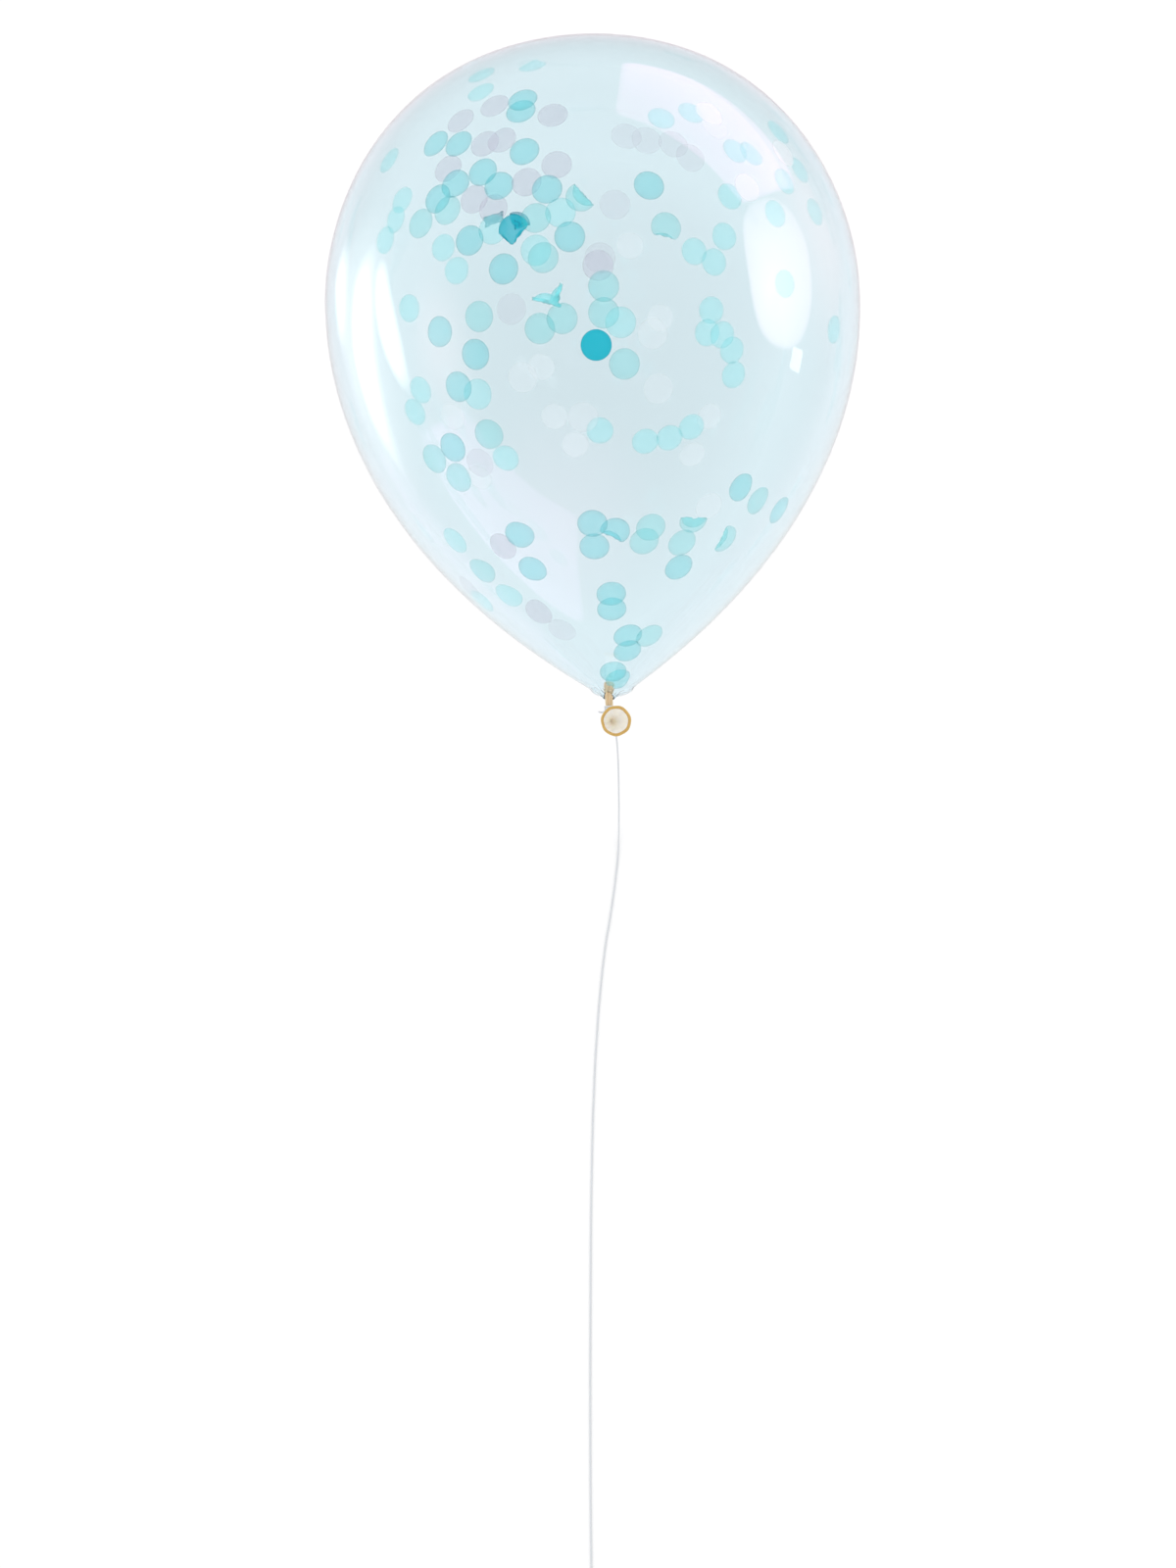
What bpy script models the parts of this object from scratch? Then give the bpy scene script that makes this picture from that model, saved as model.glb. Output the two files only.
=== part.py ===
"""A confetti balloon: a clear latex balloon lying on its side, its neck tied off with string.

Metres, +Z up. The crown points towards +Y and the neck towards -Y, dipping a little, as a
balloon lies on a table. The origin is the centre of the flat spot that it rests on.

The balloon is one moulded piece: body, neck, the tail past the tie, and the rolled lip at the
tail's mouth. It is sealed, so its body is solid here. The string is a second piece: the turns
that tie the neck, the length that hangs and lies along the table, and the loop at its end.
"""

import math

import bpy
import bmesh
from mathutils import Vector
from mathutils.geometry import interpolate_bezier

MM = 0.001
MERGE_GAP = 0.01 * MM   # points closer than this are one point

# The body's outline, measured from its widest ring along the balloon's own axis.
BODY_RADIUS = 140.6 * MM
CROWN_RISE = 137.9 * MM
NECK_DROP = 211.8 * MM
CROWN_PULL = 0.73       # how flat the crown is, as a share of the radius
SHOULDER_PULL = 0.40    # how full the shoulder is, as a share of the crown's rise
WAIST_PULL = 0.12       # how soon the sides turn in below the widest ring
FLANK_PULL = 1.17       # how straight the flank runs to the tip, in radii
FLANK_ANGLE = math.radians(58.0)
TIP_RADIUS = 11.0 * MM  # where the flank turns over into the blunt tip
TIP_DEPTH = 4.1 * MM
TIP_BLEND = 1.1         # where the flank gives way to the tip, in tip radii
OUTLINE_STEPS = 14
TIP_STEPS = 4
BODY_SIDES = 60

# How it lies.
REST_TILT = math.radians(12.0)
FLAT_DEPTH = 1.5 * MM
TABLE_SIZE = 0.5        # the block that cuts the flat spot

# Neck and tail: across, up and along the balloon's axis, and the radius there, in millimetres.
NECK_ROUTE = (
    (-0.8, 3.0, -192.0, 7.5),
    (-1.4, 6.4, -199.5, 5.6),
    (-1.9, 8.6, -204.6, 3.2),
    (-2.0, 9.0, -208.0, 2.1),
    (-2.0, 9.0, -213.0, 2.1),
    (-2.0, 9.0, -218.3, 2.1),
    (-1.7, 10.2, -221.2, 2.5),
    (-1.1, 13.0, -223.1, 3.3),
    (-0.4, 16.5, -223.6, 4.4),
    (0.3, 20.2, -223.8, 5.7),
    (0.8, 24.0, -224.2, 7.0),
)
NECK_STEPS = 3
NECK_SIDES_RESOLUTION = 6
TAIL_FIRST = 7          # the route point where the tail's hollow starts
TAIL_WALL = 0.9 * MM
LIP_BEAD = 0.85 * MM    # radius of the rolled lip
LIP_SIDES = 32
LIP_TURNS = 8
HOLLOW_BEYOND = 1.7 * MM    # how far the hollow is cut out past the mouth

# The string.
STRING_RADIUS = 0.5 * MM
TIE_TURNS = 3
TIE_TURN_STEPS = 4
TIE_SIDES = 24
TIE_ACROSS = -2.0 * MM
TIE_UP = 9.0 * MM
TIE_ALONG = -216.2 * MM
TIE_STEM_RADIUS = 2.1 * MM
TIE_KNOT_RADIUS = 1.4 * MM
TIE_KNOT_STRETCH = (1.2, 0.8, 1.0)
TIE_KNOT_OUT = 0.55     # how far the knot stands off the turns, in its own radii
TOUCH_GAP = 0.3 * MM
STRING_POINTS = 80
STRING_SMOOTHING = 8
STRING_RESOLUTION = 2
STRING_ROUTE = (
    (-1.4, -201.6, 97.6),
    (-0.6, -203.2, 93.0),
    (0.3, -205.0, 86.0),
    (0.9, -206.8, 77.0),
    (1.3, -208.8, 66.0),
    (1.5, -211.2, 54.0),
    (1.5, -214.2, 42.0),
    (1.4, -218.0, 30.0),
    (1.2, -223.2, 18.5),
    (0.8, -230.4, 8.6),
    (0.2, -240.0, 2.6),
    (-0.8, -251.0, 0.8),
    (-2.9, -265.0, 0.6),
    (-6.2, -283.0, 0.6),
    (-10.4, -303.0, 0.6),
    (-14.6, -330.0, 0.6),
    (-18.2, -360.0, 0.6),
    (-21.0, -390.0, 0.6),
    (-23.2, -420.0, 0.6),
    (-25.4, -455.0, 0.6),
    (-27.4, -492.0, 0.6),
    (-29.4, -530.0, 0.6),
    (-31.2, -568.0, 0.6),
    (-32.7, -604.0, 0.6),
    (-34.0, -638.0, 0.7),
)
END_KNOT_RADIUS = 1.6 * MM
END_KNOT_STRETCH = (1.0, 1.25, 0.8)
END_KNOT_LIFT = 0.1 * MM
END_LOOP_LENGTH = 24.0 * MM
END_LOOP_WIDTH = 9.0 * MM
END_LOOP_POINTS = 28
END_LOOP_START = 0.06   # share of the loop's turn that the knot holds at each end


def clear_scene():
    """Removes whatever the file held."""
    for old in list(bpy.data.objects):
        bpy.data.objects.remove(old, do_unlink=True)


def new_collection(name):
    """A collection of the scene, by name."""
    collection = bpy.data.collections.new(name)
    bpy.context.scene.collection.children.link(collection)
    return collection


def material(name, colour, roughness, alpha=1.0):
    """A plain Principled material."""
    made = bpy.data.materials.new(name)
    made.use_nodes = True
    shader = made.node_tree.nodes["Principled BSDF"]
    shader.inputs["Base Color"].default_value = (*colour, 1.0)
    shader.inputs["Roughness"].default_value = roughness
    shader.inputs["Metallic"].default_value = 0.0
    shader.inputs["Alpha"].default_value = alpha
    return made


def body_outline():
    """The body's outline from crown to tip, as points (radius, 0, height)."""
    crown = Vector((0.0, 0.0, CROWN_RISE))
    widest = Vector((BODY_RADIUS, 0.0, 0.0))
    flanks_meet = Vector((0.0, 0.0, -NECK_DROP))
    upper = interpolate_bezier(
        crown,
        crown + Vector((CROWN_PULL * BODY_RADIUS, 0.0, 0.0)),
        widest + Vector((0.0, 0.0, SHOULDER_PULL * CROWN_RISE)),
        widest,
        OUTLINE_STEPS,
    )
    flank = Vector((math.sin(FLANK_ANGLE), 0.0, math.cos(FLANK_ANGLE)))
    lower = interpolate_bezier(
        widest,
        widest - Vector((0.0, 0.0, WAIST_PULL * NECK_DROP)),
        flanks_meet + flank * FLANK_PULL * BODY_RADIUS,
        flanks_meet,
        OUTLINE_STEPS * 2,
    )
    flank_part = [p for p in lower[1:] if p.x > TIP_RADIUS * TIP_BLEND]
    shoulder_height = -NECK_DROP + TIP_RADIUS / math.tan(FLANK_ANGLE)
    tip = []
    for step in range(TIP_STEPS + 1):
        turn = step / TIP_STEPS * math.pi / 2
        tip.append(Vector((
            TIP_RADIUS * math.cos(turn), 0.0, shoulder_height - TIP_DEPTH * math.sin(turn)
        )))
    return upper + flank_part + tip


def resting_centre(outline):
    """Where the widest ring's centre is when the flat spot's centre is at the origin."""
    sine = math.sin(REST_TILT)
    cosine = math.cos(REST_TILT)
    lowest = min(outline, key=lambda p: p.z * sine - p.x * cosine)
    back = lowest.z * cosine + lowest.x * sine
    down = lowest.z * sine - lowest.x * cosine
    return Vector((0.0, -back, -down - FLAT_DEPTH))


def smooth_points(route, steps):
    """Points along a smooth curve through a route's points, of any number of values each."""
    padded = [route[0], *route, route[-1]]
    points = []
    for a, b, c, d in zip(padded, padded[1:], padded[2:], padded[3:]):
        for step in range(steps):
            t = step / steps
            points.append(tuple(
                0.5 * (2 * q + (r - p) * t + (2 * p - 5 * q + 4 * r - s) * t ** 2
                       + (3 * q - p - 3 * r + s) * t ** 3)
                for p, q, r, s in zip(a, b, c, d)
            ))
    points.append(tuple(route[-1]))
    return points


def evenly_spaced(points, count):
    """The same path as a given number of points at equal distances."""
    path = [Vector(p) for p in points]
    reached = [0.0]
    for here, there in zip(path, path[1:]):
        reached.append(reached[-1] + (there - here).length)
    spaced = []
    piece = 0
    for step in range(count):
        goal = reached[-1] * step / (count - 1)
        while piece < len(path) - 2 and reached[piece + 1] < goal:
            piece += 1
        share = (goal - reached[piece]) / (reached[piece + 1] - reached[piece])
        spaced.append(path[piece].lerp(path[piece + 1], share))
    return spaced


def place(thing, collection, parent=None, location=(0.0, 0.0, 0.0)):
    """Puts an object in a collection, on a parent, at a place."""
    collection.objects.link(thing)
    thing.parent = parent
    thing.location = location
    bpy.context.view_layer.update()
    return thing


def hide_cutter(cutter):
    """Marks an object as one that only cuts or joins."""
    cutter.hide_render = True
    cutter.display_type = "WIRE"


def turned(name, outline, sides, closed=False):
    """An object turned about its Z axis from an outline that runs down its outer side."""
    mesh = bpy.data.meshes.new(name)
    edges = [(i, i + 1) for i in range(len(outline) - 1)]
    if closed:
        edges.append((len(outline) - 1, 0))
    mesh.from_pydata([tuple(p) for p in outline], edges, [])
    made = bpy.data.objects.new(name, mesh)
    screw = made.modifiers.new("turn", "SCREW")
    screw.axis = "Z"
    screw.steps = sides
    screw.render_steps = sides
    screw.use_merge_vertices = True
    screw.merge_threshold = MERGE_GAP
    screw.use_smooth_shade = True
    return made


def tube(name, points, radii, resolution):
    """A tube along a path, with its own radius at each point."""
    curve = bpy.data.curves.new(name, "CURVE")
    curve.dimensions = "3D"
    curve.bevel_depth = 1.0
    curve.bevel_resolution = resolution
    curve.use_fill_caps = True
    spline = curve.splines.new("POLY")
    spline.points.add(len(points) - 1)
    for point, place_at, radius in zip(spline.points, points, radii):
        point.co = (*place_at, 1.0)
        point.radius = radius
    return bpy.data.objects.new(name, curve)


def as_mesh(curve_object, collection):
    """A curve object made into one closed mesh in the same place; the curve goes."""
    graph = bpy.context.evaluated_depsgraph_get()
    mesh = bpy.data.meshes.new_from_object(curve_object.evaluated_get(graph))
    shape = bmesh.new()
    shape.from_mesh(mesh)
    bmesh.ops.remove_doubles(shape, verts=shape.verts, dist=MERGE_GAP)
    bmesh.ops.recalc_face_normals(shape, faces=shape.faces)
    shape.to_mesh(mesh)
    shape.free()
    mesh.shade_smooth()
    name = curve_object.name
    where = curve_object.matrix_world.copy()
    bpy.data.objects.remove(curve_object, do_unlink=True)
    mesh.name = name
    made = bpy.data.objects.new(name, mesh)
    collection.objects.link(made)
    made.matrix_world = where
    return made


def ball(name, radius, stretch, sides=12, rings=8):
    """A round or oval knot."""
    mesh = bpy.data.meshes.new(name)
    shape = bmesh.new()
    bmesh.ops.create_uvsphere(shape, u_segments=sides, v_segments=rings, radius=radius)
    bmesh.ops.scale(shape, vec=stretch, verts=shape.verts)
    shape.to_mesh(mesh)
    shape.free()
    mesh.shade_smooth()
    return bpy.data.objects.new(name, mesh)


def ring(name, major, minor, sides, turns):
    """A round bead bent into a ring about its Z axis."""
    circle = [
        (
            major + minor * math.cos(turn * math.tau / turns),
            0.0,
            -minor * math.sin(turn * math.tau / turns),
        )
        for turn in range(turns)
    ]
    return turned(name, circle, sides, closed=True)


def boolean(target, other, operation):
    """Joins another object to the target, or cuts it away."""
    step = target.modifiers.new(f"{operation.lower()} {other.name}", "BOOLEAN")
    step.operation = operation
    step.object = other
    step.solver = "EXACT"
    hide_cutter(other)


def on_axis(across, up, along):
    """A point by its place across, up and along the balloon's axis, in the axis's own frame."""
    return Vector((across, -up, along))


def build_balloon(parts, cutters, axis):
    """The moulded balloon: body, neck, hollow tail and rolled lip."""
    balloon = turned("balloon", body_outline(), BODY_SIDES)
    place(balloon, parts, axis)
    balloon.data.materials.append(material("clear_latex", (0.82, 0.92, 0.95), 0.08, 0.35))

    route = smooth_points(NECK_ROUTE, NECK_STEPS)
    path = [on_axis(*(value * MM for value in point[:3])) for point in route]
    radii = [point[3] * MM for point in route]
    neck = tube("neck_and_tail", path, radii, NECK_SIDES_RESOLUTION)
    place(neck, cutters, axis)
    boolean(balloon, as_mesh(neck, cutters), "UNION")

    mouth_way = (path[-1] - path[-2]).normalized()
    lip = ring("lip", radii[-1], LIP_BEAD, LIP_SIDES, LIP_TURNS)
    place(lip, cutters, axis, path[-1])
    lip.rotation_mode = "QUATERNION"
    lip.rotation_quaternion = mouth_way.to_track_quat("Z", "Y")
    boolean(balloon, lip, "UNION")

    start = TAIL_FIRST * NECK_STEPS
    hollow_path = path[start:] + [path[-1] + mouth_way * HOLLOW_BEYOND]
    hollow_radii = [radius - TAIL_WALL for radius in radii[start:] + [radii[-1]]]
    hollow = tube("tail_hollow", hollow_path, hollow_radii, NECK_SIDES_RESOLUTION)
    place(hollow, cutters, axis)
    boolean(balloon, as_mesh(hollow, cutters), "DIFFERENCE")

    bpy.ops.mesh.primitive_cube_add(size=1.0)
    table = bpy.context.object
    table.name = "table"
    for collection in list(table.users_collection):
        collection.objects.unlink(table)
    place(table, cutters, None, (0.0, 0.0, -TABLE_SIZE / 2))
    table.scale = (TABLE_SIZE, TABLE_SIZE, TABLE_SIZE)
    boolean(balloon, table, "DIFFERENCE")
    return balloon


def build_string_tie(parts, cutters, axis, finish):
    """The string's turns round the neck, with the knot that its long end leaves from."""
    inner = TIE_STEM_RADIUS + TOUCH_GAP
    middle = inner + STRING_RADIUS
    half = TIE_TURNS * STRING_RADIUS
    outline = [(inner, 0.0, half)]
    for turn in range(TIE_TURNS):
        height = half - STRING_RADIUS * (1 + 2 * turn)
        for step in range(TIE_TURN_STEPS):
            angle = math.pi * (0.5 - (step + 0.5) / TIE_TURN_STEPS)
            outline.append((
                middle + STRING_RADIUS * math.cos(angle),
                0.0,
                height + STRING_RADIUS * math.sin(angle),
            ))
    outline.append((inner, 0.0, -half))
    tie = turned("string_tie", outline, TIE_SIDES, closed=True)
    place(tie, parts, axis, on_axis(TIE_ACROSS, TIE_UP, TIE_ALONG))
    tie.data.materials.append(finish)
    knot = ball("tie_knot", TIE_KNOT_RADIUS, TIE_KNOT_STRETCH)
    knot_up = TIE_UP - middle - TIE_KNOT_RADIUS * TIE_KNOT_OUT
    place(knot, cutters, axis, on_axis(TIE_ACROSS + STRING_RADIUS, knot_up, TIE_ALONG))
    boolean(tie, knot, "UNION")
    return tie


def build_string(parts, finish):
    """The string's free length, from the tie down to the table and along it."""
    route = [tuple(value * MM for value in point) for point in STRING_ROUTE]
    points = evenly_spaced(smooth_points(route, STRING_SMOOTHING), STRING_POINTS)
    string = tube("string", points, [STRING_RADIUS] * STRING_POINTS, STRING_RESOLUTION)
    place(string, parts)
    string.data.materials.append(finish)
    return string


def build_string_loop(parts, cutters, finish):
    """The hand loop that the string ends in, with its knot, flat on the table."""
    before, last = (Vector(point) * MM for point in STRING_ROUTE[-2:])
    way = (last - before).normalized()
    side = Vector((-way.y, way.x, 0.0))
    knot_at = last + way * (END_KNOT_RADIUS * END_KNOT_STRETCH[1] + TOUCH_GAP)
    knot_at.z = END_KNOT_RADIUS * END_KNOT_STRETCH[2] + END_KNOT_LIFT
    points = []
    for step in range(END_LOOP_POINTS):
        share = END_LOOP_START + (1 - 2 * END_LOOP_START) * step / (END_LOOP_POINTS - 1)
        turn = math.tau * share
        out = END_LOOP_LENGTH * (1 - math.cos(turn)) / 2
        wide = END_LOOP_WIDTH / 2 * math.sin(turn) * math.sqrt(math.sin(turn / 2))
        point = knot_at + way * out + side * wide
        point.z = last.z
        points.append(point)
    loop = tube("string_loop", points, [STRING_RADIUS] * END_LOOP_POINTS, STRING_RESOLUTION)
    place(loop, cutters)
    loop = as_mesh(loop, parts)
    loop.data.materials.append(finish)
    knot = ball("end_knot", END_KNOT_RADIUS, END_KNOT_STRETCH)
    place(knot, cutters, None, knot_at)
    boolean(loop, knot, "UNION")
    return loop


def main():
    """Builds the balloon and its string."""
    clear_scene()
    parts = new_collection("confetti_balloon")
    cutters = new_collection("cutters")
    axis = bpy.data.objects.new("balloon_axis", None)
    place(axis, parts, None, resting_centre(body_outline()))
    axis.rotation_euler = (REST_TILT - math.pi / 2, 0.0, 0.0)
    bpy.context.view_layer.update()
    build_balloon(parts, cutters, axis)
    string_finish = material("white_string", (0.86, 0.87, 0.88), 0.7)
    build_string_tie(parts, cutters, axis, string_finish)
    build_string(parts, string_finish)
    build_string_loop(parts, cutters, string_finish)


main()
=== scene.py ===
"""The looks of a confetti balloon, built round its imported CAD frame.

A clear latex balloon lies on its side with paper discs clinging to the inside of its skin. Its
neck is gathered and tied off with a thin white string, and the tail past the tie flares to a
rolled lip. Lengths are in metres unless a name ends in _mm.
"""

import logging
import random
from dataclasses import dataclass, field
from enum import Enum
from math import copysign, cos, exp, hypot, pi, radians, sin, sqrt, tan, tau
from typing import Iterator, Sequence

import bmesh
import bpy
import numpy as np
from bpy.types import Material, Node, NodeSocket, NodeTree, Object
from mathutils import Matrix, Vector, noise
from mathutils.geometry import interpolate_bezier


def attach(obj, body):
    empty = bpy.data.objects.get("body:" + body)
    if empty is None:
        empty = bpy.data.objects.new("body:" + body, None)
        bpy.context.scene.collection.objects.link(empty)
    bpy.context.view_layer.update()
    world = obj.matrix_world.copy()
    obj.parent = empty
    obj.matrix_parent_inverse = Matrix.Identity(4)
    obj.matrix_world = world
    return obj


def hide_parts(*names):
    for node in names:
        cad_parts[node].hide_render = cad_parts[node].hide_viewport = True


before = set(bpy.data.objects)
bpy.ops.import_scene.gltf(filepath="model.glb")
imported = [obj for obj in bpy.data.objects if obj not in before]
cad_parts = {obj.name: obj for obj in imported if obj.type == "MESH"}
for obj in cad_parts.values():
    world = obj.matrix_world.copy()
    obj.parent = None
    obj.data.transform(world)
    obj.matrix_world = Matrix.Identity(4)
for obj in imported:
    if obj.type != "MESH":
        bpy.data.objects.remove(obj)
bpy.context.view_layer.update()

logging.basicConfig(level=logging.INFO, format="%(message)s")
log = logging.getLogger("balloon")

MM = 0.001
Face = tuple[int, ...]
Pair = tuple[float, float]
Triple = tuple[float, float, float]
Quad = tuple[float, float, float, float]
BODY = "root"


# ---- helpers


def linear(colour: str) -> Quad:
    """Turns an sRGB hex colour to linear RGBA.

    Args:
        colour: Six hex digits, such as "a0d8e0".

    Returns:
        The linear colour with an alpha of one.
    """
    channels = [int(colour[i:i + 2], 16) / 255 for i in (0, 2, 4)]
    lit = [c / 12.92 if c <= 0.04045 else ((c + 0.055) / 1.055) ** 2.4 for c in channels]
    return (*lit, 1.0)


def add_node(
    tree: NodeTree,
    kind: str,
    settings: dict[str | int, object] | None = None,
    links: dict[str | int, NodeSocket] | None = None,
) -> Node:
    """Adds a node with its settings and links.

    Args:
        tree: The node tree to add to.
        kind: The node's type name, such as "ShaderNodeTexNoise".
        settings: Values by property name, or by an input socket's name or number.
        links: Output sockets to join to the inputs of these names or numbers.

    Returns:
        The new node.
    """
    node = tree.nodes.new(kind)
    for name, value in (settings or {}).items():
        if isinstance(name, int) or name in node.inputs:
            node.inputs[name].default_value = value
        else:
            setattr(node, name, value)
    for name, socket in (links or {}).items():
        tree.links.new(socket, node.inputs[name])
    return node


def new_material(name: str) -> tuple[Material, NodeTree]:
    """Makes a material without any nodes, and gives its node tree too."""
    material = bpy.data.materials.new(name)
    material.use_nodes = True
    material.node_tree.nodes.clear()
    return material, material.node_tree


def surfaced(
    material: Material,
    settings: dict[str | int, object],
    links: dict[str | int, NodeSocket] | None = None,
    kind: str = "ShaderNodeBsdfPrincipled",
) -> Material:
    """Gives a material its shader and its output.

    Args:
        material: The material.
        settings: The shader's settings, as add_node takes them.
        links: The shader's links, as add_node takes them.
        kind: The shader's type name.

    Returns:
        The material.
    """
    shader = add_node(material.node_tree, kind, settings, links)
    add_node(material.node_tree, "ShaderNodeOutputMaterial", {}, {"Surface": shader.outputs[0]})
    return material


def mesh_object(
    name: str,
    points: Sequence[Vector],
    faces: Sequence[Face],
    material: Material,
) -> Object:
    """Makes a smooth-shaded mesh object in the scene.

    Args:
        name: The object's name.
        points: Its vertices.
        faces: Its faces, as lists of vertex numbers.
        material: Its material.

    Returns:
        The new object.
    """
    mesh = bpy.data.meshes.new(name)
    mesh.from_pydata([tuple(p) for p in points], [], [tuple(f) for f in faces])
    mesh.validate()
    mesh.shade_smooth()
    mesh.materials.append(material)
    made = bpy.data.objects.new(name, mesh)
    bpy.context.scene.collection.objects.link(made)
    return made


def set_values(thing: Object, name: str, values: Sequence[float]) -> None:
    """Gives each vertex a value, which the object's material reads by its name."""
    thing.data.attributes.new(name, "FLOAT", "POINT").data.foreach_set("value", values)


def hide_from(thing: Object, *rays: str) -> None:
    """Hides an object from rays of these kinds, such as "glossy"."""
    for ray in rays:
        setattr(thing, f"visible_{ray}", False)


def orient_outward(thing: Object) -> None:
    """Turns a mesh's faces the same way, outward."""
    shape = bmesh.new()
    shape.from_mesh(thing.data)
    bmesh.ops.recalc_face_normals(shape, faces=shape.faces)
    shape.to_mesh(thing.data)
    shape.free()


def circle(count: int) -> list[float]:
    """The angles of points evenly round a circle."""
    return [tau * step / count for step in range(count)]


def fan_faces(hub: int, sides: int) -> list[Face]:
    """Triangles from a hub to the ring of points that are numbered after it."""
    return [(hub, hub + 1 + (side + 1) % sides, hub + 1 + side) for side in range(sides)]


def ring_faces(rings: int, sides: int, first: int = 0) -> list[Face]:
    """Faces of a tube of rings, each with the same number of sides.

    Args:
        rings: How many rings there are.
        sides: How many points a ring has.
        first: The number of the first ring's first point.

    Returns:
        One quad for each side of each stretch between two rings.
    """
    faces = []
    for ring in range(rings - 1):
        here = first + ring * sides
        for side in range(sides):
            after = (side + 1) % sides
            faces.append((here + side, here + after, here + sides + after, here + sides + side))
    return faces


def capped_tube(rings: int, sides: int, first: int = 0) -> list[Face]:
    """Faces of a tube as ring_faces takes it, then a cap on its first ring and on its last."""
    last = first + (rings - 1) * sides
    return [
        *ring_faces(rings, sides, first),
        tuple(reversed(range(first, first + sides))),
        tuple(range(last, last + sides)),
    ]


def ways_along(
    path: Sequence[Vector], side_way: Vector
) -> Iterator[tuple[Vector, Vector, Vector, Vector]]:
    """Carries a way across along a path, without a twist.

    Args:
        path: The path's points.
        side_way: The way across that the path starts with.

    Yields:
        Each point, two ways across the path there, and the way on.
    """
    last = len(path) - 1
    for index, point in enumerate(path):
        on = (path[min(index + 1, last)] - path[max(index - 1, 0)]).normalized()
        side_way = (side_way - on * side_way.dot(on)).normalized()
        yield point, side_way, on.cross(side_way), on


def smooth_points(route: Sequence[Sequence[float]], steps: int) -> list[tuple[float, ...]]:
    """Points along a smooth curve through a route's points.

    Args:
        route: Points of any number of values each.
        steps: How many points to read from each stretch.

    Returns:
        The curve's points, the route's last one included.
    """
    padded = [route[0], *route, route[-1]]
    points = []
    for a, b, c, d in zip(padded, padded[1:], padded[2:], padded[3:]):
        for step in range(steps):
            t = step / steps
            points.append(tuple(
                0.5 * (2 * q + (r - p) * t + (2 * p - 5 * q + 4 * r - s) * t ** 2
                       + (3 * q - p - 3 * r + s) * t ** 3)
                for p, q, r, s in zip(a, b, c, d)
            ))
    points.append(tuple(route[-1]))
    return points


def smoothstep(low: float, high: float, value: float) -> float:
    """Eases from nought at low to one at high."""
    share = min(1.0, max(0.0, (value - low) / (high - low)))
    return share * share * (3 - 2 * share)


# ---- the balloon's form


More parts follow.
